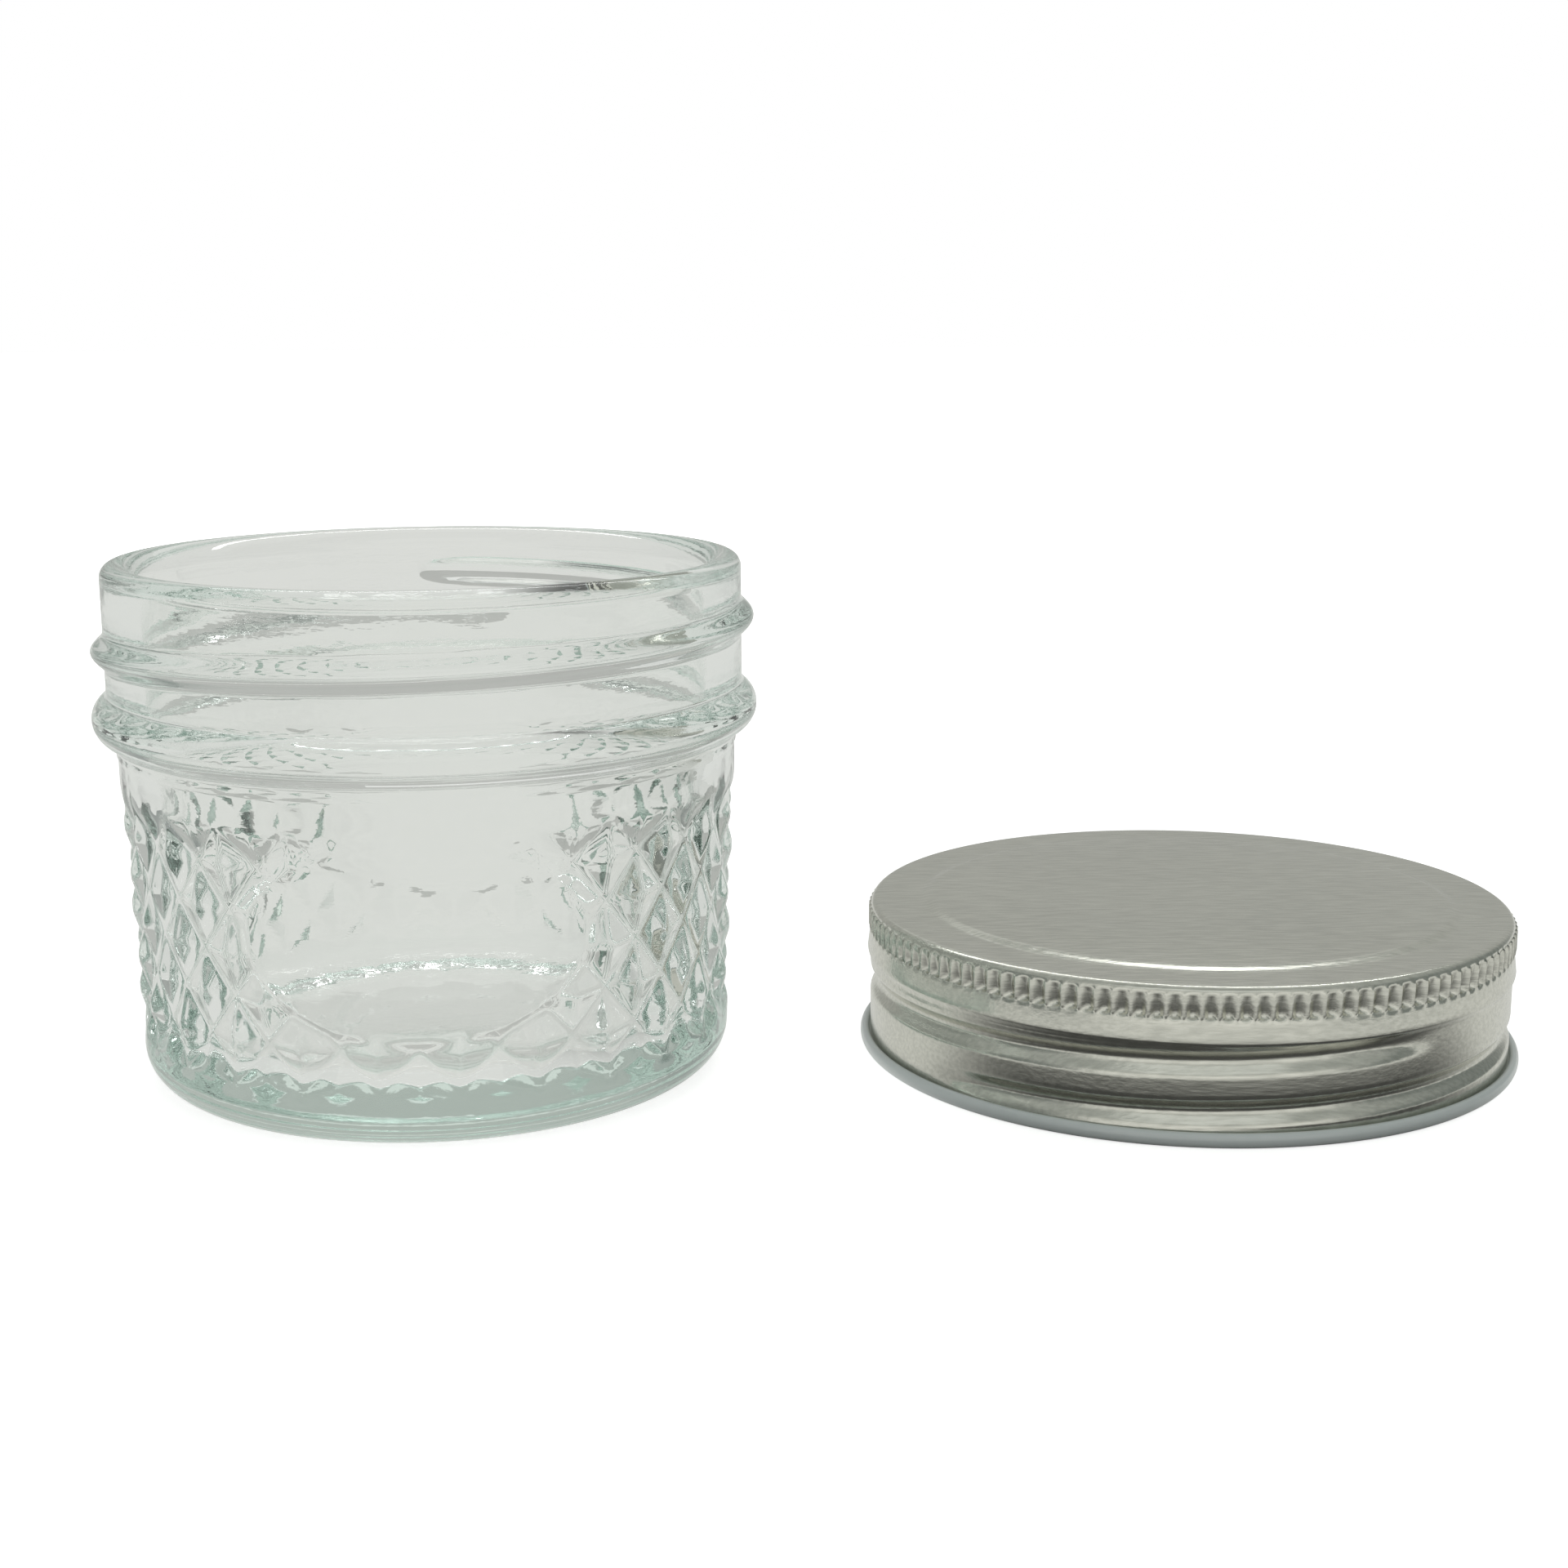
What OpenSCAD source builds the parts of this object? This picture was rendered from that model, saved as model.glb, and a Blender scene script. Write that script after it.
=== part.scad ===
// Quilted glass jelly jar with its one-piece screw lid lying beside it.
// Millimetres, +Z up. The origin is on the jar's axis, on the table it stands on.

/* [Jar] */
// Height from the table to the rim
jar_h = 54.5; // [52:0.5:70]
// Outside of the plain neck below and above the thread
neck_d = 65.7; // [60:0.1:80]
// Glass between the neck's outside and the mouth
neck_wall = 3.8; // [3.2:0.1:5]
// Glass in the side wall of the body
body_wall = 3.9; // [3:0.1:5]
// How far the body's plain band stands in from the neck
body_step = 0.85; // [0.3:0.05:2]
// How much the body's radius narrows from that band to the heel
body_taper = 1; // [0:0.1:2]
// Glass under the contents
floor_t = 4.5; // [3:0.1:6]
// Radius of the round heel between side wall and foot
heel_r = 4.3; // [3:0.1:5]
// Width of the flat ring that the jar stands on
foot_w = 1.6; // [1:0.1:3]
// How far the underside is pushed up inside the foot ring
push_up = 1.2; // [0.5:0.1:2]
// Direction that the front panel faces, in degrees from +X
front_deg = -85.5; // [-180:0.5:180]

/* [Bead under the neck] */
// How far the bead stands out from the neck
bead_out = 1.55; // [1:0.05:2.5]
// Height of the bead
bead_h = 5; // [4:0.1:6]
// Height from the middle of the bead to the rim
bead_drop = 15.7; // [15:0.1:18]
// Height of the plain band under the bead
band_h = 3.7; // [2:0.1:5]

/* [Thread] */
// Rise of the thread in one turn
pitch = 5.08; // [4:0.01:6]
// How far the glass thread stands out from the neck
thread_out = 1.3; // [1:0.05:1.6]
// Width of the glass thread where it leaves the neck
thread_w = 2.9; // [2:0.1:3.2]
// Length of the glass thread round the neck, in degrees
thread_sweep = 380; // [300:5:400]
// Height from the middle of the thread's upper end to the rim
thread_drop = 5.05; // [4.5:0.05:6]

/* [Quilting] */
// Diamonds round the jar
diamonds = 25; // [16:1:30]
// Rows of half diamonds from the heel to the plain band
quilt_rows = 6; // [4:1:8]
// How far the tip of a diamond stands above the valleys
relief = 0.8; // [0.4:0.1:1.2]
// How far the tips lie below the plain glass
quilt_sink = 0.2; // [0.1:0.05:0.4]
// Lowest edge of the quilting
quilt_z = 5.85; // [5.2:0.05:7]
// Plain glass between the quilting and the band above it
quilt_margin = 0.65; // [0.5:0.05:1.5]
// Half width of each plain oval panel, in degrees round the jar
panel_half_deg = 31; // [20:1:60]
// Distance from each end of the quilting to the oval panels
panel_margin = 3.45; // [2:0.05:6]

/* [Lid] */
// Height of the lid
lid_h = 16.2; // [15.6:0.1:20]
// Thickness of the sheet metal
sheet_t = 0.28; // [0.22:0.01:0.4]
// Radial gap between the glass thread and the lid's skirt
skirt_gap = 0.2; // [0.1:0.05:0.8]
// Round edge between the lid's top and its skirt
lid_edge_r = 0.8; // [0.6:0.1:1.2]
// Thickness of the rolled bottom edge
curl_d = 1.5; // [1.2:0.1:2]
// Distance from the lid's skirt to the middle of the rolled edge
curl_out = 0.35; // [0.25:0.05:0.6]
// Distance from the skirt to the raised middle of the top
panel_inset = 6.1; // [4:0.1:12]
// How far the middle of the top is raised
panel_rise = 0.35; // [0.2:0.05:0.5]
// Ribs round the lid's edge
ribs = 128; // [80:4:160]
// How far each rib stands out from the skirt
rib_out = 0.22; // [0.1:0.02:0.4]
// Height of the ribbed band
rib_h = 2.7; // [2:0.1:3]
// Plain edge above the ribs
rib_drop = 0.65; // [0.6:0.05:1]
// How far the rolled thread is pressed in
roll_in = 0.85; // [0.6:0.05:1]
// Width of the rolled thread
roll_w = 2.3; // [1.8:0.1:2.6]
// Length of the rolled thread round the lid, in degrees
roll_sweep = 455; // [360:5:460]
// Middle of the rolled thread's lower end above the lid's bottom edge
roll_z = 3; // [2.8:0.1:4.4]
// Free width between the jar and the lid beside it
lid_gap = 11.3; // [5:0.1:60]
// How far the lid's axis lies behind the jar's axis
lid_y = 5.6; // [-20:0.2:20]

/* [Sealing liner] */
// Thickness of the liner
liner_t = 1; // [0.6:0.1:1.5]
// Gap between the liner's edge and the round corner inside the lid
liner_gap = 0.1; // [0.05:0.05:0.5]

/* [Hidden] */
$fn = 96;

// Steps in each round corner of an outline
arc_steps = 6;
// How far a raised band reaches into the solid that it stands on
root = 0.5;

neck_r = neck_d / 2;
mouth_r = neck_r - neck_wall;
rim_out_r = 1.3;
rim_in_r = neck_wall - rim_out_r;
bead_r = neck_r + bead_out;
bead_z = jar_h - bead_drop;
bead_low_z = bead_z - bead_h / 2;

body_top_r = neck_r - body_step;
body_low_r = body_top_r - body_taper;
body_top_z = bead_low_z - band_h;
body_low_z = heel_r;
foot_r = body_low_r - heel_r + foot_w / 2;
push_r = foot_r - foot_w;
shoulder_h = 4;

thread_r = neck_r + thread_out;
thread_top_deg = 100;
thread_top_z = jar_h - thread_drop;
thread_low_deg = thread_top_deg - thread_sweep;
thread_low_z = thread_top_z - pitch * thread_sweep / 360;
thread_steps = 54;
thread_fade = 14;

quilt_top_z = body_top_z - quilt_margin;
diamond_half_h = (quilt_top_z - quilt_z) / quilt_rows;
panel_half_h = (quilt_top_z - quilt_z) / 2 - panel_margin;
quilt_recess = quilt_sink + relief + root;
quilt_depth = quilt_recess + 2 * root;
quilt_tuck = 0.35;
column_deg = 180 / diamonds;

skirt_in_r = thread_r + skirt_gap;
skirt_r = skirt_in_r + sheet_t;
edge_z = lid_h - panel_rise;
curl_r = curl_d / 2;
panel_r = skirt_r - panel_inset;
lid_x = bead_r + lid_gap + skirt_r + curl_out + curl_r;
panel_slope = 1.6;
rib_top_z = edge_z - rib_drop;
roll_low_deg = 212;
roll_steps = 60;
roll_fade = 20;
roll_flat = 0.3;

liner_r = skirt_r - lid_edge_r - liner_gap;
liner_top_z = edge_z - sheet_t;

// Radius of the body's plain outside at height z
function body_r(z) = body_low_r + body_taper * (z - body_low_z) / (body_top_z - body_low_z);

// Points of an arc about [r, z], from one angle to another
function arc(r, z, radius, from, to) =
    [for (i = [0:arc_steps]) let (a = from + (to - from) * i / arc_steps)
        [r + radius * cos(a), z + radius * sin(a)]];

// Height of a swept bead at angle a along it, from 0 to 1, with round ends
function fade(a, sweep, length) =
    let (t = 1 - min(a, sweep - a, length) / length)
    sqrt(max(0.04, 1 - t * t));

// A bead swept round the Z axis. Profile points are [out, up]; side is 1 to
// stand out of a surface of radius r, and -1 to stand in from it
module helical_bead(profile, r, z, start, sweep, length, steps, side = 1) {
    sides = len(profile);
    order = side > 0 ? [0:sides - 1] : [sides - 1:-1:0];
    points = [for (i = [0:steps]) let (a = sweep * i / steps, k = fade(a, sweep, length))
        for (j = order) let (p = profile[j], d = r + side * (p[0] < 0 ? p[0] : p[0] * k))
            [d * cos(start + a), d * sin(start + a), z + pitch * a / 360 + p[1] * k]];
    walls = [for (i = [0:steps - 1]) for (j = [0:sides - 1]) let (k = (j + 1) % sides)
        [i * sides + j, i * sides + k, (i + 1) * sides + k, (i + 1) * sides + j]];
    ends = [[for (j = [sides - 1:-1:0]) j], [for (j = [0:sides - 1]) steps * sides + j]];
    polyhedron(points, concat(walls, ends), convexity = 6);
}

// True where a corner of the quilting lies in one of the two oval panels
function in_panel(i, j) =
    let (turn = i * column_deg, side = turn - 180 * round(turn / 180),
        up = (j - quilt_rows / 2) * diamond_half_h)
    pow(side / panel_half_deg, 2) + pow(up / panel_half_h, 2) < 1;

// True on the lowest and highest rows of corners, which are tucked into the plain glass
function at_end(j) = j == 0 || j == quilt_rows;

// Height of row j of the quilting's corners
function quilt_row_z(j) =
    quilt_z + j * diamond_half_h + (j == 0 ? -quilt_tuck : j == quilt_rows ? quilt_tuck : 0);

// How far a corner of the quilting stands out: tips are high, valleys low
function quilt_out(i, j) =
    at_end(j) ? -relief - quilt_tuck
    : in_panel(i, j) || (i + j) % 2 == 0 ? 0 : -relief;

// The pressed band of diamonds, each a low pyramid, round the body
module quilting() {
    columns = 2 * diamonds;
    outside = [for (j = [0:quilt_rows]) for (i = [0:columns - 1])
        let (a = front_deg + i * column_deg, z = quilt_row_z(j),
            r = body_r(z) - quilt_sink + quilt_out(i, j))
        [r * cos(a), r * sin(a), z]];
    inside = [for (j = [0, quilt_rows]) for (i = [0:columns - 1])
        let (a = front_deg + i * column_deg, z = quilt_row_z(j), r = body_r(z) - quilt_depth)
        [r * cos(a), r * sin(a), z]];
    facets = [for (j = [0:quilt_rows - 1]) for (i = [0:columns - 1])
        let (k = (i + 1) % columns, a = j * columns + i, b = j * columns + k,
            c = (j + 1) * columns + k, d = (j + 1) * columns + i)
        for (facet = (i + j) % 2 == 0 ? [[a, d, b], [b, d, c]] : [[a, d, c], [a, c, b]]) facet];
    top = quilt_rows * columns;
    in_low = top + columns;
    in_top = in_low + columns;
    rings = [for (i = [0:columns - 1]) let (k = (i + 1) % columns)
        for (quad = [
            [in_low + i, in_low + k, in_top + k, in_top + i],
            [i, k, in_low + k, in_low + i],
            [top + k, top + i, in_top + i, in_top + k]]) quad];
    polyhedron(concat(outside, inside), concat(facets, rings), convexity = 8);
}

// Pressed glass: foot, heel, quilted body, bead, threaded neck and rim
module glass_jar() {
    inner_low_r = body_low_r - body_wall;
    outline = concat(
        [[0, push_up], [push_r - push_up, push_up], [push_r, 0], [foot_r, 0]],
        arc(body_low_r - heel_r, heel_r, heel_r, -68, 0),
        [[body_r(quilt_z), quilt_z], [body_r(quilt_z) - quilt_recess, quilt_z],
            [body_r(quilt_top_z) - quilt_recess, quilt_top_z],
            [body_r(quilt_top_z), quilt_top_z], [body_top_r, body_top_z], [body_top_r, bead_low_z]],
        arc(bead_r - bead_h / 2, bead_z, bead_h / 2, -60, 60),
        [[neck_r, bead_z + bead_h / 2], [neck_r, jar_h - rim_out_r]],
        arc(neck_r - rim_out_r, jar_h - rim_out_r, rim_out_r, 0, 90),
        arc(mouth_r + rim_in_r, jar_h - rim_in_r, rim_in_r, 90, 180),
        [[mouth_r, bead_z], [body_top_r - body_wall, bead_z - shoulder_h]],
        arc(inner_low_r - heel_r, floor_t + heel_r, heel_r, 0, -90),
        [[0, floor_t + push_up]]);
    thread = [[-root, -thread_w * 0.62], [thread_out * 0.7, -thread_w * 0.25], [thread_out, 0],
        [thread_out * 0.7, thread_w * 0.25], [-root, thread_w * 0.62]];
    color("LightCyan", 0.45) {
        rotate_extrude() polygon(outline);
        quilting();
        helical_bead(thread, neck_r, thread_low_z, thread_low_deg, thread_sweep,
            thread_fade, thread_steps);
    }
}

// Soft disc that lies loose under the lid's top and seals on the rim
module sealing_liner() {
    color("WhiteSmoke") translate([lid_x, lid_y, liner_top_z - liner_t])
        cylinder(h = liner_t, r = liner_r);
}

// Band of upright ribs pressed out of the lid's skirt, each with a narrow flat crest
module rib_band() {
    rib_deg = 360 / ribs;
    corners = [[0, 0], [0.4, rib_out], [0.6, rib_out]];
    band = [for (i = [0:ribs - 1]) for (corner = corners)
        let (a = (i + corner[0]) * rib_deg, r = skirt_r + corner[1])
        [r * cos(a), r * sin(a)]];
    translate([0, 0, rib_top_z - rib_h]) linear_extrude(rib_h) difference() {
        polygon(band);
        circle(skirt_in_r);
    }
}

// Thread rolled into the lid from a wall of radius r, reaching back into that wall
module rolled_thread(r, reach) {
    slope = (roll_w - roll_flat) / 2 / roll_in;
    half_w = roll_w / 2 + reach * slope;
    groove = [[-reach, -half_w], [roll_in, -roll_flat / 2], [roll_in, roll_flat / 2],
        [-reach, half_w]];
    helical_bead(groove, r, roll_z, roll_low_deg, roll_sweep, roll_fade, roll_steps, -1);
}

// Pressed sheet metal: top with a raised middle, ribs, rolled thread, rolled edge
module lid_shell() {
    low_r = panel_r + panel_slope / 2;
    high_r = panel_r - panel_slope / 2;
    outline = concat(
        [[0, lid_h], [high_r, lid_h], [low_r, edge_z]],
        arc(skirt_r - lid_edge_r, edge_z - lid_edge_r, lid_edge_r, 90, 0),
        [[skirt_r, curl_r], [skirt_in_r, curl_r]],
        arc(skirt_r - lid_edge_r, edge_z - lid_edge_r, lid_edge_r - sheet_t, 0, 90),
        [[low_r, edge_z - sheet_t], [high_r, lid_h - sheet_t], [0, lid_h - sheet_t]]);
    color("DarkGray") translate([lid_x, lid_y, 0]) {
        difference() {
            union() {
                rotate_extrude() polygon(outline);
                rolled_thread(skirt_in_r, sheet_t / 2);
            }
            rolled_thread(skirt_r, sheet_t);
        }
        rib_band();
        rotate_extrude() translate([skirt_r + curl_out, curl_r]) circle(curl_r);
    }
}

glass_jar();
sealing_liner();
lid_shell();
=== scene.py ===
# A quilted glass jelly jar with its one-piece screw lid lying beside it.
# Metres, +Z up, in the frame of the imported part. Sizes in the sections are in millimetres.

import math

import bpy
import numpy as np
from mathutils import Matrix, Vector


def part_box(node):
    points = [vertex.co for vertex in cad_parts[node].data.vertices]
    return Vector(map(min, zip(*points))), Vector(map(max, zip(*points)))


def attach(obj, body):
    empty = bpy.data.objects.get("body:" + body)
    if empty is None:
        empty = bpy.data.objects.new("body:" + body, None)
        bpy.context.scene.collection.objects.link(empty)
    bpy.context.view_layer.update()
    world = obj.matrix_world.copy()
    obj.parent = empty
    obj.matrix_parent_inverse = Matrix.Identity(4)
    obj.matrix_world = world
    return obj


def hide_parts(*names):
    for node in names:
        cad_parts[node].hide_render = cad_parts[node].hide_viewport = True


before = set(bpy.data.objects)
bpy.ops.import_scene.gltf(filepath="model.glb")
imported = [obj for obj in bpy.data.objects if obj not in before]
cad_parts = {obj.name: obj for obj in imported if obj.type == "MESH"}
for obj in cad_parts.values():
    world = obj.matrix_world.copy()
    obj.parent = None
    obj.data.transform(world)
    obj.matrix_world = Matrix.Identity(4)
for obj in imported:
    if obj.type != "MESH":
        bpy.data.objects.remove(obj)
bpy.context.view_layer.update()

# ------------------------------------------------------------------ camera
# The camera stands in front of the table, a hand's height above it, and looks
# slightly down between the jar and the lid.

CAMERA_AT = Vector((0.03726, -0.24413, 0.08005))
CAMERA_DOWN = math.radians(11.60)
CAMERA_ROLL = math.radians(-0.174)
LENS = 53.84

camera_data = bpy.data.cameras.new("camera")
camera_data.lens = LENS
camera_data.sensor_width = 36.0
camera_data.clip_start = 0.005
camera_data.clip_end = 50.0
camera = bpy.data.objects.new("camera", camera_data)
looking_down = Matrix.Rotation(math.pi / 2 - CAMERA_DOWN, 4, "X")
camera.matrix_world = Matrix.Translation(CAMERA_AT) @ looking_down @ Matrix.Rotation(CAMERA_ROLL, 4, "Z")
scene = bpy.context.scene
scene.collection.objects.link(camera)
scene.camera = camera

# ------------------------------------------------------------------ table and light
# A white table top that runs on out of sight, in a light grey room with darker sides
# and four soft lamps. In reflections the table is darker just in front of the lid: a painted shade that
# stands in for the lid's own shadow.


class Value:
    """One number in a node tree. Python's operators add Math nodes to it."""

    def __init__(self, nodes, socket):
        self.nodes = nodes
        self.socket = socket

    def math(self, operation, *others):
        return self.nodes.maths(operation, self, *others)

    def __add__(self, other):
        return self.math("ADD", other)

    def __sub__(self, other):
        return self.math("SUBTRACT", other)

    def __rsub__(self, other):
        return self.nodes.maths("SUBTRACT", other, self)

    def __mul__(self, other):
        return self.math("MULTIPLY", other)

    def __truediv__(self, other):
        return self.math("DIVIDE", other)

    def __pow__(self, other):
        return self.math("POWER", other)

    def __mod__(self, other):
        return self.math("FLOORED_MODULO", other)

    def __abs__(self):
        return self.math("ABSOLUTE")

    __radd__ = __add__
    __rmul__ = __mul__

    def clamped(self):
        return self.math("MAXIMUM", 0.0).math("MINIMUM", 1.0)

    def ramp(self, low, high):
        """0 below low, 1 above high, and a soft rise between them."""
        rise = ((self - low) / (high - low)).clamped()
        return rise * rise * (3.0 - 2.0 * rise)


class Nodes:
    """Builds one node tree."""

    def __init__(self, tree):
        self.tree = tree
        tree.nodes.clear()

    def add(self, kind, settings=None, inputs=None):
        """A node of that type: its settings first, then its sockets' values or links."""
        node = self.tree.nodes.new(kind)
        for name, setting in (settings or {}).items():
            setattr(node, name, setting)
        for name, given in (inputs or {}).items():
            source = given.socket if isinstance(given, Value) else given
            if isinstance(source, bpy.types.NodeSocket):
                self.tree.links.new(source, node.inputs[name])
            else:
                node.inputs[name].default_value = source
        return node

    def value(self, kind, settings=None, inputs=None, output=0):
        return Value(self, self.add(kind, settings, inputs).outputs[output])

    def maths(self, operation, *numbers):
        return self.value("ShaderNodeMath", {"operation": operation}, dict(enumerate(numbers)))

    def mix(self, factor, colour_a, colour_b):
        """Colour a where factor is 0 and colour b where it is 1."""
        node = self.add("ShaderNodeMix", {"data_type": "RGBA"}, {0: factor, 6: colour_a, 7: colour_b})
        return node.outputs[2]


def colour(red, green, blue):
    return (red, green, blue, 1.0)


def new_material(name):
    material = bpy.data.materials.new(name)
    material.use_nodes = True
    return material, Nodes(material.node_tree)


scene.view_settings.view_transform = "Standard"
scene.cycles.max_bounces = 32
scene.cycles.transmission_bounces = 28
scene.cycles.glossy_bounces = 16
scene.cycles.sample_clamp_indirect = 6.0

WHITE = colour(1.0, 1.0, 1.0)
BACK_WALL = colour(0.45, 0.455, 0.435)
ROOM_HIGH = colour(0.42, 0.44, 0.42)
ROOM_SIDE = colour(0.23, 0.25, 0.24)
ROOM_FRONT = colour(0.85, 0.85, 0.82)
TABLE_TOP = colour(0.71, 0.715, 0.69)
# Painted shade: the colour the table shows in reflections close round the lid.
TABLE_PAINTED_SHADE = colour(0.071, 0.0715, 0.069)
FRONT_TO_BACK = (-0.75, -0.2)
TOWARD_SIDES = (0.55, 0.85)
TOWARD_CEILING = (0.3, 0.75)

world = bpy.data.worlds.new("room")
world.use_nodes = True
scene.world = world
room = Nodes(world.node_tree)
direction = room.add("ShaderNodeTexCoord").outputs["Generated"]
split_direction = room.add("ShaderNodeSeparateXYZ", None, {0: direction})
across, depth, height = (Value(room, split_direction.outputs[i]) for i in range(3))
wall_colour = room.mix(depth.ramp(*FRONT_TO_BACK), ROOM_FRONT, BACK_WALL)
wall_colour = room.mix(abs(across).ramp(*TOWARD_SIDES), wall_colour, ROOM_SIDE)
room_colour = room.mix(height.ramp(*TOWARD_CEILING), wall_colour, ROOM_HIGH)
seen_directly = room.value("ShaderNodeLightPath", None, None, "Is Camera Ray")
backdrop = room.mix(seen_directly, room_colour, WHITE)
background = room.add("ShaderNodeBackground", None, {"Color": backdrop, "Strength": 1.0})
room.add("ShaderNodeOutputWorld", None, {"Surface": background.outputs[0]})

TABLE_R = 4.0
TABLE_STEPS = 96
TABLE_DROP = 0.00004
NEAR_GLOW = colour(0.66, 0.66, 0.66)
FAR_GLOW = colour(1.06, 1.06, 1.06)
GLOW_FROM = 0.15
GLOW_TO = 0.4
table_mesh = bpy.data.meshes.new("table")
table_rim = [2 * math.pi * i / TABLE_STEPS for i in range(TABLE_STEPS)]
table_mesh.from_pydata(
    [(TABLE_R * math.cos(a), TABLE_R * math.sin(a), -TABLE_DROP) for a in table_rim],
    [],
    [list(range(TABLE_STEPS))],
)
table = bpy.data.objects.new("table", table_mesh)
scene.collection.objects.link(table)
table_paint, paint = new_material("white table")
table_at = paint.add("ShaderNodeTexCoord").outputs["Object"]
far_off = paint.value("ShaderNodeVectorMath", {"operation": "LENGTH"}, {0: table_at}, "Value")
far_off = far_off.ramp(GLOW_FROM, GLOW_TO)
paint_shader = paint.add(
    "ShaderNodeBsdfPrincipled",
    None,
    {
        "Base Color": colour(0.9, 0.9, 0.9),
        "Roughness": 0.9,
        "Specular IOR Level": 0.0,
        "Emission Color": paint.mix(far_off, NEAR_GLOW, FAR_GLOW),
        "Emission Strength": 1.0,
    },
)
DARK_FROM = 0.006
DARK_TO = 0.044
FRONT_FROM = 0.034
FRONT_TO = 0.010
lid_side_low, lid_side_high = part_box("lid_shell")
lid_spot = (lid_side_low + lid_side_high) / 2
lid_reach = (lid_side_high.x - lid_side_low.x) / 2
from_lid = paint.value(
    "ShaderNodeVectorMath",
    {"operation": "DISTANCE"},
    {0: table_at, 1: (lid_spot.x, lid_spot.y, 0.0)},
    "Value",
)
# Painted shade: the table's glow seen in reflections is darkened round the lid and in front of it, where
# the lid's own shadow would fall.
painted_shade_round_lid = 1.0 - from_lid.ramp(lid_reach + DARK_FROM, lid_reach + DARK_TO)
table_depth = paint.value("ShaderNodeSeparateXYZ", None, {0: table_at}, 1)
painted_shade_in_front = 1.0 - table_depth.ramp(lid_spot.y - FRONT_FROM, lid_spot.y - FRONT_TO)
table_glow_and_painted_shade = paint.mix(painted_shade_round_lid * painted_shade_in_front, TABLE_TOP, TABLE_PAINTED_SHADE)
in_the_room = paint.add("ShaderNodeEmission", None, {"Color": table_glow_and_painted_shade, "Strength": 1.0})
table_seen = paint.value("ShaderNodeLightPath", None, None, "Is Camera Ray")
both = paint.add(
    "ShaderNodeMixShader", None, {0: table_seen, 1: in_the_room.outputs[0], 2: paint_shader.outputs[0]}
)
paint.add("ShaderNodeOutputMaterial", None, {"Surface": both.outputs[0]})
table_mesh.materials.append(table_paint)


def soft_lamp(name, place, aim, width, length, radiance):
    """A rectangular lamp that no camera sees."""
    data = bpy.data.lights.new(name, "AREA")
    data.shape = "RECTANGLE"
    data.size = width
    data.size_y = length
    data.energy = radiance * math.pi * width * length
    lamp = bpy.data.objects.new(name, data)
    lamp.location = place
    lamp.rotation_euler = (Vector(aim) - Vector(place)).to_track_quat("-Z", "Y").to_euler()
    lamp.visible_camera = False
    scene.collection.objects.link(lamp)


BETWEEN = (0.045, 0.0, 0.02)
soft_lamp("overhead lamp", (0.05, 0.30, 0.80), BETWEEN, 0.9, 0.4, 0.3)
soft_lamp("tube lamp", (0.06, 0.45, 0.62), BETWEEN, 0.9, 0.05, 6.0)
soft_lamp("back window", (0.11, 0.80, 0.48), BETWEEN, 0.60, 0.10, 0.33)
soft_lamp("front lamp", (0.05, -0.60, 0.75), BETWEEN, 0.8, 0.35, 0.35)

# ------------------------------------------------------------------ glass jar
# One piece of pressed soda-lime glass, faintly green where it is thick. Its mould
# cut the diamonds, the plain oval panels front and back, the bead and the thread.

MM = 0.001
JAR_H = 54.5
NECK_R = 32.85
MOUTH_R = 29.05
RIM_OUT_R = 1.3
BEAD_Z = 38.8
BEAD_R = 2.5
BEAD_TOP_R = 34.4
BODY_TOP_R = 32.0
BODY_LOW_R = 31.0
BODY_TOP_Z = 32.6
HEEL_R = 4.3
BODY_WALL = 3.9
FLOOR_T = 4.5
PUSH_UP = 1.2
FRONT_DEG = -85.5
DIAMONDS = 25
QUILT_Z = 5.85
QUILT_TOP_Z = 31.95
QUILT_ROWS = 6
CELL_STEPS = 8


def arc(r, z, radius, start, end, steps):
    """Points of an arc about (r, z), from one angle in degrees to another."""
    angles = [math.radians(start + (end - start) * i / steps) for i in range(steps + 1)]
    return [(r + radius * math.cos(a), z + radius * math.sin(a)) for a in angles]


def line(start, end, steps):
    """Points from start up to, but without, end."""
    return [
        (start[0] + (end[0] - start[0]) * i / steps, start[1] + (end[1] - start[1]) * i / steps)
        for i in range(steps)
    ]


def body_r(z):
    return BODY_LOW_R + (BODY_TOP_R - BODY_LOW_R) * (z - HEEL_R) / (BODY_TOP_Z - HEEL_R)


def revolve(outline, steps, first_deg=0.0, diagonal=None):
    """Vertices and faces of an outline in (r, z), turned about Z. Both its ends lie on
    the axis. diagonal(row, step) gives +1 or -1 where a face is split into triangles."""
    rings = outline[1:-1]
    turn = np.radians(first_deg + 360.0 * np.arange(steps) / steps)
    vertices = [(0.0, 0.0, outline[0][1])]
    for r, z in rings:
        vertices += [(r * c, r * s, z) for c, s in zip(np.cos(turn), np.sin(turn))]
    vertices.append((0.0, 0.0, outline[-1][1]))
    faces = []
    last = len(vertices) - 1
    for i in range(steps):
        k = (i + 1) % steps
        faces.append((0, 1 + k, 1 + i))
        base = 1 + (len(rings) - 1) * steps
        faces.append((last, base + i, base + k))
    for row in range(len(rings) - 1):
        low, high = 1 + row * steps, 1 + (row + 1) * steps
        for i in range(steps):
            k = (i + 1) % steps
            a, b, c, d = low + i, low + k, high + k, high + i
            split = diagonal(row, i) if diagonal else 0
            if split > 0:
                faces += [(a, b, c), (a, c, d)]
            elif split < 0:
                faces += [(a, b, d), (b, c, d)]
            else:
                faces.append((a, b, c, d))
    scaled = [(x * MM, y * MM, z * MM) for x, y, z in vertices]
    return scaled, faces


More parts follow.
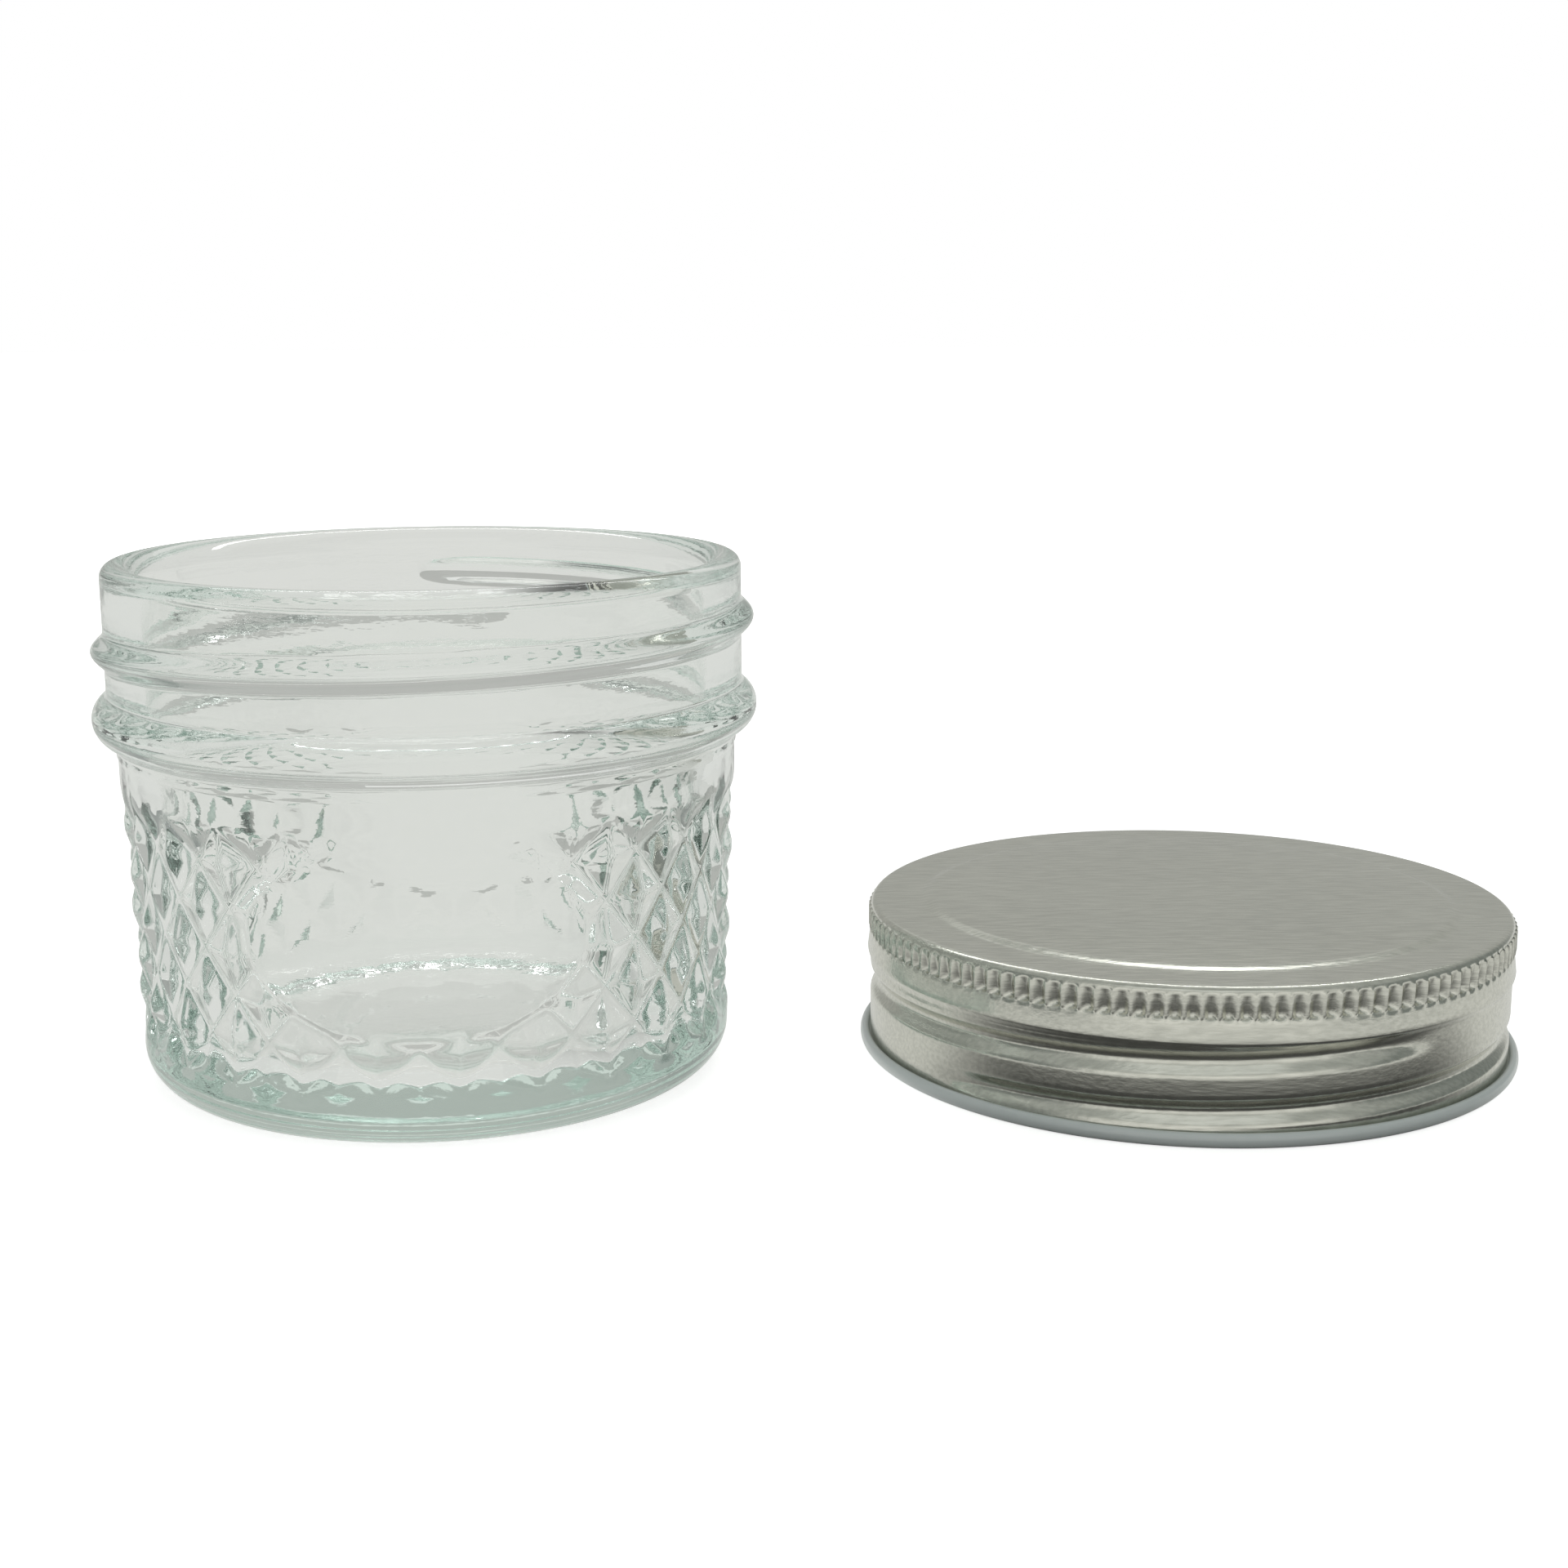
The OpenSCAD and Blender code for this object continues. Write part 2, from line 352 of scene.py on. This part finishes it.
def size_sockets(nodes, sizes):
    """Gives a tree its geometry sockets and one named number for each size."""
    sockets = nodes.tree.interface
    sockets.new_socket("Geometry", in_out="INPUT", socket_type="NodeSocketGeometry")
    sockets.new_socket("Geometry", in_out="OUTPUT", socket_type="NodeSocketGeometry")
    for name in sizes:
        sockets.new_socket(name, in_out="INPUT", socket_type="NodeSocketFloat")
    given = nodes.add("NodeGroupInput")
    return given.outputs["Geometry"], {name: Value(nodes, given.outputs[name]) for name in sizes}


def round_the_axis(nodes):
    """Angle in degrees, radius and height in millimetres of each point."""
    position = nodes.add("GeometryNodeInputPosition").outputs[0]
    split = nodes.add("ShaderNodeSeparateXYZ", None, {0: position})
    x, y, z = (Value(nodes, split.outputs[i]) / MM for i in range(3))
    angle = y.math("ARCTAN2", x) * math.degrees(1.0)
    return angle, (x * x + y * y).math("SQRT"), z


def place_round(nodes, geometry, angle, radius, z):
    """Moves each point to that angle, radius and height."""
    turn = angle * math.radians(1.0)
    spot = nodes.add(
        "ShaderNodeCombineXYZ",
        None,
        {0: radius * turn.math("COSINE") * MM, 1: radius * turn.math("SINE") * MM, 2: z * MM},
    )
    moved = nodes.add(
        "GeometryNodeSetPosition", None, {"Geometry": geometry, "Position": spot.outputs[0]}
    )
    return moved.outputs[0]


def finish_tree(nodes, geometry, material, inside=None, inside_material=None):
    """Ends a tree with its realized geometry in its material, and a second one inside."""
    realized = nodes.add("GeometryNodeRealizeInstances", None, {"Geometry": geometry})
    painted = nodes.add(
        "GeometryNodeSetMaterial", None, {"Geometry": realized.outputs[0], "Material": material}
    )
    if inside:
        painted = nodes.add(
            "GeometryNodeSetMaterial",
            None,
            {"Geometry": painted.outputs[0], "Selection": inside, "Material": inside_material},
        )
    nodes.add("NodeGroupOutput", None, {"Geometry": painted.outputs[0]})


def shaped_piece(name, vertices, faces, tree, sizes, marks=None, centre=(0.0, 0.0, 0.0)):
    """A plain mesh of the blank after its tree has shaped it, moved to centre."""
    mesh = bpy.data.meshes.new(name + "_blank")
    mesh.from_pydata(vertices, [], faces)
    if marks is not None:
        mesh.attributes.new("inside", "BOOLEAN", "FACE").data.foreach_set("value", marks)
    blank = bpy.data.objects.new(name + "_blank", mesh)
    scene.collection.objects.link(blank)
    modifier = blank.modifiers.new("shape", "NODES")
    modifier.node_group = tree
    for socket in tree.interface.items_tree:
        if socket.name in sizes:
            modifier[socket.identifier] = sizes[socket.name]
    seen = blank.evaluated_get(bpy.context.evaluated_depsgraph_get())
    final = bpy.data.meshes.new_from_object(seen)
    final.name = name
    final.transform(Matrix.Translation(Vector(centre)))
    final.polygons.foreach_set("use_smooth", [True] * len(final.polygons))
    bpy.data.objects.remove(blank)
    bpy.data.meshes.remove(mesh)
    piece = bpy.data.objects.new(name, final)
    scene.collection.objects.link(piece)
    return piece


foot_mid_r = BODY_LOW_R - HEEL_R
outside_low = (
    [(0.0, PUSH_UP), (8.0, PUSH_UP), (16.0, 1.18), (21.0, 1.1), (23.4, 0.92), (24.6, 0.62)]
    + [(25.4, 0.3), (26.0, 0.1), (26.5, 0.01), (27.2, 0.0)]
    + arc(foot_mid_r, HEEL_R, HEEL_R, -78, 0, 12)
    + [(body_r(5.0), 5.0), (body_r(5.4), 5.4), (body_r(5.7), 5.7)]
)
cell_h = (QUILT_TOP_Z - QUILT_Z) / QUILT_ROWS
quilt_levels = [QUILT_Z + cell_h * i / CELL_STEPS for i in range(QUILT_ROWS * CELL_STEPS + 1)]
quilt_band = [(body_r(z), z) for z in quilt_levels]
outside_high = (
    [(body_r(32.4), 32.4), (BODY_TOP_R, 33.2), (BODY_TOP_R, 34.5), (BODY_TOP_R + 0.03, 34.8)]
    + [(BODY_TOP_R + 0.16, 35.05), (BODY_TOP_R + 0.2, 35.5), (BODY_TOP_R + 0.3, 36.1)]
    + arc(BEAD_TOP_R - BEAD_R, BEAD_Z, BEAD_R, -66, 66, 18)
    + [(NECK_R + 0.03, 41.45), (NECK_R, 41.9)]
    + line((NECK_R, 42.2), (NECK_R, 52.4), 38)
    + [(NECK_R, 52.8)]
    + arc(NECK_R - RIM_OUT_R, JAR_H - RIM_OUT_R, RIM_OUT_R, 0, 90, 8)
)
rim_in_r = NECK_R - MOUTH_R - RIM_OUT_R
inner_top_r = BODY_TOP_R - BODY_WALL
inner_low_r = BODY_LOW_R - BODY_WALL
inside_wall = (
    arc(MOUTH_R + rim_in_r, JAR_H - rim_in_r, rim_in_r, 90, 180, 10)[1:]
    + line((MOUTH_R, 50.0), (MOUTH_R, 40.0), 5)
    + [(MOUTH_R, 39.6), (MOUTH_R - 0.06, 38.7), (MOUTH_R - 0.22, 37.8), (MOUTH_R - 0.5, 36.7)]
    + [(MOUTH_R - 0.76, 35.6), (inner_top_r + 0.04, 34.8), (inner_top_r, 34.0)]
    + line((inner_top_r - 0.05, 32.5), (inner_low_r, FLOOR_T + HEEL_R), 9)
    + arc(inner_low_r - HEEL_R, FLOOR_T + HEEL_R, HEEL_R, 0, -86, 10)
    + [(21.0, FLOOR_T + 0.03), (18.0, FLOOR_T + 0.18), (14.0, FLOOR_T + 0.5)]
    + [(9.0, FLOOR_T + 0.85), (4.5, FLOOR_T + 1.08), (0.0, FLOOR_T + PUSH_UP)]
)
jar_outline = outside_low + quilt_band + outside_high + inside_wall
first_quilt_row = len(outside_low) - 1


def valley_side(row, step):
    """Faces in the quilting are split along the valleys between the diamonds."""
    up = row - first_quilt_row
    if not 0 <= up < QUILT_ROWS * CELL_STEPS:
        return 0
    return 1 if (up // CELL_STEPS + step // CELL_STEPS) % 2 else -1


jar_steps = 2 * DIAMONDS * CELL_STEPS
jar_vertices, jar_faces = revolve(jar_outline, jar_steps, FRONT_DEG, valley_side)

jar_sizes = {
    "Front": FRONT_DEG,
    "Column": 180.0 / DIAMONDS,
    "Quilt low": QUILT_Z,
    "Quilt top": QUILT_TOP_Z,
    "Row": cell_h,
    "Relief": 1.2,
    "Fade below": 1.6,
    "Fade low": 3.0,
    "Fade high": 4.2,
    "Blunt": 0.85,
    "Blunt round": 0.08,
    "Sink": 0.02,
    "Valley round": 0.06,
    "Panel half width": 31.0,
    "Panel half height": 9.7,
    "Panel middle": 20.8,
    "Panel bevel": 0.09,
    "Panel level": 0.22,
    "Panel rim": 0.13,
    "Thread top": 49.45,
    "Thread start": 100.0,
    "Thread sweep": 380.0,
    "Thread pitch": 5.08,
    "Thread out": 1.3,
    "Thread half width": 1.75,
    "Thread fade": 14.0,
    "Wave": 0.02,
}
wall = Nodes(bpy.data.node_groups.new("pressed wall", "GeometryNodeTree"))
geometry, size = size_sockets(wall, jar_sizes)
angle, radius, z = round_the_axis(wall)


THREAD_TIP = 0.45
THREAD_FULLNESS = 0.62


def thread_height(height_above, half_width, fade):
    """0 outside the thread and 1 along its middle, narrower where it fades out."""
    width_here = half_width * (THREAD_TIP + (1.0 - THREAD_TIP) * fade)
    off_middle = abs(height_above / width_here).math("MINIMUM", 1.0)
    crown = (off_middle * math.pi).math("COSINE") * 0.5 + 0.5
    return crown**THREAD_FULLNESS * fade


def round_end(distance, length):
    """Rises from 0 at a bead's end to 1 a length away, as a quarter circle does."""
    gone = 1.0 - (distance / length).clamped()
    return (1.0 - gone * gone).math("SQRT")


def near_valley(across):
    """Distance from the nearest valley line, 0 to 1, with the line itself rounded."""
    off = across % 2.0 - 1.0
    soft = size["Valley round"]
    return ((off * off + soft * soft).math("SQRT") - soft) / ((1.0 + soft * soft).math("SQRT") - soft)


turn = angle - size["Front"]
half_turns = (turn / 180.0).math("ROUND")
side = turn - half_turns * 180.0
panel_x = side / size["Panel half width"]
panel_z = (z - size["Panel middle"]) / size["Panel half height"]
oval = (panel_x * panel_x + panel_z * panel_z).math("SQRT")
WALL_MIDDLE_R = 30.3
EDGE_REACH = 0.08
on_body = radius.math("GREATER_THAN", WALL_MIDDLE_R)
on_body = on_body * z.math("GREATER_THAN", size["Quilt low"] - size["Fade below"] - 0.1)
on_body = on_body * z.math("LESS_THAN", size["Quilt top"] + 0.05)
gather = (abs(oval - 1.0) / EDGE_REACH).math("MINIMUM", 1.0)
drawn_in = (1.0 + (oval - 1.0) * gather) / oval.math("MAXIMUM", 0.01)
pull = 1.0 + (drawn_in - 1.0) * on_body
side = side * pull
z_on_body = size["Panel middle"] + (z - size["Panel middle"]) * pull
oval = oval * pull
column = (side + half_turns * 180.0) / size["Column"]
row_up = (z_on_body - size["Quilt low"]) / size["Row"]
diamond = near_valley(column + row_up).math("MINIMUM", near_valley(column - row_up))
diamond = diamond.math("SMOOTH_MIN", size["Blunt"], size["Blunt round"])
outside_oval = oval.ramp(1.0 - size["Panel bevel"] * 0.3, 1.0 + size["Panel bevel"])
carved = (size["Blunt"] - diamond) * outside_oval + size["Panel level"] * (1.0 - outside_oval)
sunk = size["Sink"] + size["Relief"] * carved
rim_line = 1.0 - (abs(oval - 1.0) / size["Panel bevel"] * 2.0).math("MINIMUM", 1.0)
sunk = sunk - rim_line * rim_line * size["Panel rim"]
ends = z.ramp(size["Quilt low"] - size["Fade below"], size["Quilt low"] + size["Fade low"])
ends = ends * (1.0 - z.ramp(size["Quilt top"] - size["Fade high"], size["Quilt top"]))
quilting = -1.0 * sunk * ends * on_body

along = (size["Thread start"] - angle) % 360.0
turn_z = size["Thread top"] - size["Thread pitch"] * along / 360.0
from_end = size["Thread sweep"] - along
upper = thread_height(z - turn_z, size["Thread half width"], round_end(along, size["Thread fade"]))
lower = thread_height(
    z - turn_z + size["Thread pitch"],
    size["Thread half width"],
    round_end(from_end - 360.0, size["Thread fade"]),
)
on_neck = radius.math("GREATER_THAN", NECK_R - 0.3) * z.math("GREATER_THAN", BEAD_Z)
thread = upper.math("MAXIMUM", lower) * on_neck * size["Thread out"]

position = wall.add("GeometryNodeInputPosition").outputs[0]
ripple = wall.value(
    "ShaderNodeTexNoise", {"noise_dimensions": "3D"}, {"Vector": position, "Scale": 85.0, "Detail": 1.0}
)
WAVY_FROM_R = 20.0
off_axis = (radius / WAVY_FROM_R).clamped()
waves = (ripple - 0.5) * size["Wave"] * 2.0 * off_axis * off_axis
jar_shape = place_round(
    wall, geometry, column * size["Column"] + size["Front"], radius + quilting + thread + waves, z_on_body
)

glass, melt = new_material("clear glass")
coordinates = melt.add("ShaderNodeTexCoord").outputs["Object"]
stretch = melt.add("ShaderNodeMapping", None, {"Vector": coordinates, "Scale": (1.0, 1.0, 4.0)})
streaks = melt.value(
    "ShaderNodeTexNoise", None, {"Vector": stretch.outputs[0], "Scale": 260.0, "Detail": 3.0}
)
skin = melt.value(
    "ShaderNodeTexNoise", None, {"Vector": coordinates, "Scale": 900.0, "Detail": 2.0}
)
relief = melt.add(
    "ShaderNodeBump",
    None,
    {"Strength": 0.08, "Distance": 0.00012, "Height": streaks + skin * 0.4},
)
tint = melt.mix(streaks.ramp(0.3, 0.7), colour(0.985, 0.99, 0.982), colour(0.996, 0.998, 0.992))
glass_shader = melt.add(
    "ShaderNodeBsdfPrincipled",
    None,
    {
        "Base Color": tint,
        "Roughness": 0.012,
        "IOR": 1.52,
        "Transmission Weight": 1.0,
        "Normal": relief.outputs[0],
    },
)
green = melt.add(
    "ShaderNodeVolumeAbsorption", None, {"Color": colour(0.48, 0.86, 0.72), "Density": 5.5}
)
melt.add(
    "ShaderNodeOutputMaterial",
    None,
    {"Surface": glass_shader.outputs[0], "Volume": green.outputs[0]},
)

finish_tree(wall, jar_shape, glass)
jar = shaped_piece("pressed_jar", jar_vertices, jar_faces, wall.tree, jar_sizes)
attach(jar, "jar")
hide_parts("glass_jar")

# ------------------------------------------------------------------ sealing liner
# A soft white foam disc, stamped out of sheet, that lies loose under the lid's top.
# The jar's rim leaves a shallow ring in it.

liner_low, liner_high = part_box("sealing_liner")
liner_middle = (liner_low + liner_high) / 2
LINER_R = (liner_high.x - liner_low.x) / 2 / MM
LINER_T = (liner_high.z - liner_low.z) / MM
LINER_EDGE = 0.18
LINER_STEPS = 160
ring_mark = [(29.2, 0.0), (29.8, 0.10), (31.3, 0.16), (32.3, 0.12), (33.0, 0.0)]
liner_outline = (
    [(0.0, 0.0), (10.0, 0.0), (20.0, 0.0), (28.0, 0.0)]
    + ring_mark
    + arc(LINER_R - LINER_EDGE, LINER_EDGE, LINER_EDGE, -90, 0, 4)
    + arc(LINER_R - LINER_EDGE, LINER_T - LINER_EDGE, LINER_EDGE, 0, 90, 4)
    + [(20.0, LINER_T), (10.0, LINER_T), (0.0, LINER_T)]
)
liner_vertices, liner_faces = revolve(liner_outline, LINER_STEPS)

foam, cells = new_material("white foam")
foam_at = cells.add("ShaderNodeTexCoord").outputs["Object"]
cell_pattern = cells.value(
    "ShaderNodeTexVoronoi", {"feature": "F1"}, {"Vector": foam_at, "Scale": 2600.0}
)
foam_cloud = cells.value("ShaderNodeTexNoise", None, {"Vector": foam_at, "Scale": 180.0})
foam_bump = cells.add(
    "ShaderNodeBump", None, {"Strength": 0.35, "Distance": 0.0001, "Height": cell_pattern}
)
foam_shader = cells.add(
    "ShaderNodeBsdfPrincipled",
    None,
    {
        "Base Color": cells.mix(foam_cloud, colour(0.80, 0.80, 0.77), colour(0.88, 0.88, 0.86)),
        "Roughness": 0.75,
        "Normal": foam_bump.outputs[0],
    },
)
cells.add("ShaderNodeOutputMaterial", None, {"Surface": foam_shader.outputs[0]})

stamped = Nodes(bpy.data.node_groups.new("stamped disc", "GeometryNodeTree"))
disc = size_sockets(stamped, {})[0]
finish_tree(stamped, disc, foam)
liner_place = (liner_middle.x, liner_middle.y, liner_low.z)
liner = shaped_piece("foam_liner", liner_vertices, liner_faces, stamped.tree, {}, centre=liner_place)
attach(liner, "liner")
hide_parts("sealing_liner")

# ------------------------------------------------------------------ lid
# One piece of tinplate, drawn to a cup: satin metal outside, white enamel inside. Its
# edge is ribbed for grip, the thread is rolled in, and the bottom edge curls outwards.

lid_low, lid_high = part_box("lid_shell")
lid_middle = (lid_low + lid_high) / 2
LID_H = 16.2
SHEET = 0.28
SKIRT_R = 34.63
SKIRT_IN_R = SKIRT_R - SHEET
EDGE_Z = 15.85
EDGE_R = 0.8
CURL_R = 0.75
CURL_HALF_W = 0.52
CURL_MID_R = SKIRT_R + 0.58
CURL_FROM_DEG = 172
CURL_SWEEP_DEG = 262
CURL_STEPS = 15
PANEL_HIGH_R = 27.7
PANEL_LOW_R = 29.3
BAND_TOP_Z = 12.6
BAND_H = 2.3
BAND_FLARE = 0.32
LEDGE_Z = 9.9
LEDGE_H = 0.35
RIBS = 128
RIB_STEPS = 6


def panel_slope(lift, steps):
    """Soft step between the raised middle of the top and its edge."""
    points = []
    for i in range(steps + 1):
        t = i / steps
        drop = t * t * (3 - 2 * t)
        points.append(
            (PANEL_HIGH_R + (PANEL_LOW_R - PANEL_HIGH_R) * t, LID_H - lift - (LID_H - EDGE_Z) * drop)
        )
    return points


def skirt_swell(z):
    """How far the plain band under the ribs flares out, down to its ledge."""
    flare = min(1.0, max(0.0, (BAND_TOP_Z - z) / BAND_H))
    ledge = min(1.0, max(0.0, (z - LEDGE_Z) / LEDGE_H))
    return BAND_FLARE * flare**0.8 * ledge


skirt_levels = (
    [14.95, 14.75, 14.5, 14.2, 13.8, 13.4, 13.0, 12.8, 12.68, 12.58, 12.46]
    + [12.1, 11.5, 10.9, 10.4]
    + [10.2 - 0.28 * i for i in range(31)]
)
outer_skirt = [(SKIRT_R + skirt_swell(z), z) for z in skirt_levels]
inner_levels = [z for z in skirt_levels[1::2] if z > 2.0]
inner_skirt = [(SKIRT_IN_R + skirt_swell(z), z) for z in reversed(inner_levels)]
curl = [
    (CURL_MID_R + CURL_HALF_W * math.cos(a), CURL_R + CURL_R * math.sin(a))
    for a in (
        math.radians(CURL_FROM_DEG - CURL_SWEEP_DEG * i / CURL_STEPS) for i in range(CURL_STEPS + 1)
    )
]
metal_face = (
    [(0.0, LID_H), (16.0, LID_H)]
    + panel_slope(0.0, 6)
    + [(31.8, EDGE_Z)]
    + arc(SKIRT_R - EDGE_R, EDGE_Z - EDGE_R, EDGE_R, 90, 0, 7)
    + outer_skirt
    + [(SKIRT_R, 1.1), (SKIRT_R, 0.72)]
)
enamel_face = (
    curl
    + [(CURL_MID_R - 0.3, 0.04), (SKIRT_R - 0.12, 0.16), (SKIRT_IN_R + 0.03, 0.42)]
    + [(SKIRT_IN_R, 0.8), (SKIRT_IN_R, 1.6)]
    + inner_skirt
    + arc(SKIRT_R - EDGE_R, EDGE_Z - EDGE_R, EDGE_R - SHEET, 0, 90, 3)
    + list(reversed(panel_slope(SHEET, 3)))
    + [(16.0, LID_H - SHEET), (0.0, LID_H - SHEET)]
)
lid_outline = list(reversed(metal_face + enamel_face))
lid_vertices, lid_faces = revolve(lid_outline, RIBS * RIB_STEPS)

lid_sizes = {
    "Ribs": float(RIBS),
    "Rib out": 0.22,
    "Rib in": 0.55,
    "Rib top": 15.2,
    "Rib low": 12.62,
    "Rib point": 0.9,
    "Rib sharpness": 1.5,
    "Rib foot": 0.16,
    "Rib foot rise": 0.3,
    "Valley run": 2.3,
    "Roll in": 0.85,
    "Roll low": 2.5,
    "Roll start": 212.0,
    "Roll sweep": 455.0,
    "Roll pitch": 5.08,
    "Roll above": 1.55,
    "Roll below": 1.5,
    "Roll fade": 18.0,
    "Roll fullness": 0.8,
    "Plain from": 9.9,
    "Plain above": 10.5,
    "Curl top": 1.1,
    "Skirt from": 1.9,
}
pressing = Nodes(bpy.data.node_groups.new("pressed lid", "GeometryNodeTree"))
lid_geometry, pressed = size_sockets(pressing, lid_sizes)
angle, radius, z = round_the_axis(pressing)
ON_SKIRT_R = 33.95
on_skirt = radius.math("GREATER_THAN", ON_SKIRT_R)

rib_part = abs((angle / 360.0 * pressed["Ribs"]) % 1.0 - 0.5)
rib_width = ((pressed["Rib top"] - z) / pressed["Rib point"]).clamped().math("SQRT") * 0.5 + 0.0001
crest = ((rib_part / rib_width).math("MINIMUM", 1.0) * math.pi).math("COSINE") * 0.5 + 0.5
crest = crest ** pressed["Rib sharpness"]
rib_reach = z.ramp(pressed["Rib low"] - pressed["Rib foot"], pressed["Rib low"] + pressed["Rib foot rise"])
under_rib_top = z.math("LESS_THAN", pressed["Rib top"])
valley_grows = ((pressed["Rib top"] - z) / pressed["Valley run"]).clamped()
ribs_out = crest * pressed["Rib out"] - (1.0 - crest) * pressed["Rib in"] * valley_grows
ribbing = ribs_out * rib_reach * under_rib_top


def roll_shape(height_above, fade):
    """1 in the middle of the rolled thread, falling to 0 above and below it."""
    above = (height_above / pressed["Roll above"]).math("MAXIMUM", 0.0)
    below = (height_above * -1.0 / pressed["Roll below"]).math("MAXIMUM", 0.0)
    off_middle = (above + below).math("MINIMUM", 1.0)
    crown = (off_middle * math.pi).math("COSINE") * 0.5 + 0.5
    return crown ** pressed["Roll fullness"] * fade


roll_along = (angle - pressed["Roll start"]) % 360.0
roll_z = pressed["Roll low"] + pressed["Roll pitch"] * roll_along / 360.0
first_turn = roll_shape(z - roll_z, (roll_along / pressed["Roll fade"]).ramp(0.0, 1.0))
left_over = (pressed["Roll sweep"] - 360.0 - roll_along) / pressed["Roll fade"]
second_turn = roll_shape(z - roll_z - pressed["Roll pitch"], left_over.ramp(0.0, 1.0))
rolling = first_turn.math("MAXIMUM", second_turn) * pressed["Roll in"] * -1.0
below_ribs = 1.0 - z.ramp(pressed["Plain from"], pressed["Plain above"])
below_ribs = below_ribs * z.ramp(pressed["Curl top"], pressed["Skirt from"])
lid_shape = place_round(
    pressing, lid_geometry, angle, radius + (ribbing + rolling * below_ribs) * on_skirt, z
)

tin, plate = new_material("satin tinplate")
tin_at = plate.add("ShaderNodeTexCoord").outputs["Object"]
grain_map = plate.add("ShaderNodeMapping", None, {"Vector": tin_at, "Scale": (1.0, 8.0, 8.0)})
grain = plate.value(
    "ShaderNodeTexNoise", None, {"Vector": grain_map.outputs[0], "Scale": 330.0, "Detail": 3.0}
)
cloud = plate.value("ShaderNodeTexNoise", None, {"Vector": tin_at, "Scale": 60.0, "Detail": 3.0})
brushed = plate.add(
    "ShaderNodeBump", None, {"Strength": 0.6, "Distance": 0.00003, "Height": grain}
)
tin_shader = plate.add(
    "ShaderNodeBsdfPrincipled",
    None,
    {
        "Base Color": plate.mix(
            grain.ramp(0.25, 0.75) * 0.7 + cloud * 0.3, colour(0.56, 0.565, 0.51), colour(0.76, 0.76, 0.69)
        ),
        "Metallic": 1.0,
        "Roughness": 0.16 + cloud * 0.08,
        "Normal": brushed.outputs[0],
    },
)
plate.add("ShaderNodeOutputMaterial", None, {"Surface": tin_shader.outputs[0]})

enamel, lacquer = new_material("white enamel")
enamel_at = lacquer.add("ShaderNodeTexCoord").outputs["Object"]
peel = lacquer.value("ShaderNodeTexNoise", None, {"Vector": enamel_at, "Scale": 700.0})
peel_bump = lacquer.add(
    "ShaderNodeBump", None, {"Strength": 0.15, "Distance": 0.00003, "Height": peel}
)
enamel_shader = lacquer.add(
    "ShaderNodeBsdfPrincipled",
    None,
    {
        "Base Color": lacquer.mix(peel, colour(0.62, 0.68, 0.68), colour(0.68, 0.73, 0.73)),
        "Roughness": 0.28,
        "Coat Weight": 0.5,
        "Normal": peel_bump.outputs[0],
    },
)
lacquer.add("ShaderNodeOutputMaterial", None, {"Surface": enamel_shader.outputs[0]})

inside_mark = pressing.add(
    "GeometryNodeInputNamedAttribute", {"data_type": "BOOLEAN"}, {"Name": "inside"}
)
finish_tree(pressing, lid_shape, tin, inside_mark.outputs[0], enamel)
ring_count = len(lid_outline) - 2
enamel_rings = len(enamel_face) - 1
face_marks = []
for i in range(RIBS * RIB_STEPS):
    face_marks += [True, False]
for row in range(ring_count - 1):
    face_marks += [row < enamel_rings] * (RIBS * RIB_STEPS)
lid = shaped_piece(
    "tinplate_lid",
    lid_vertices,
    lid_faces,
    pressing.tree,
    lid_sizes,
    face_marks,
    (lid_middle.x, lid_middle.y, lid_low.z),
)
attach(lid, "lid")
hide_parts("lid_shell")
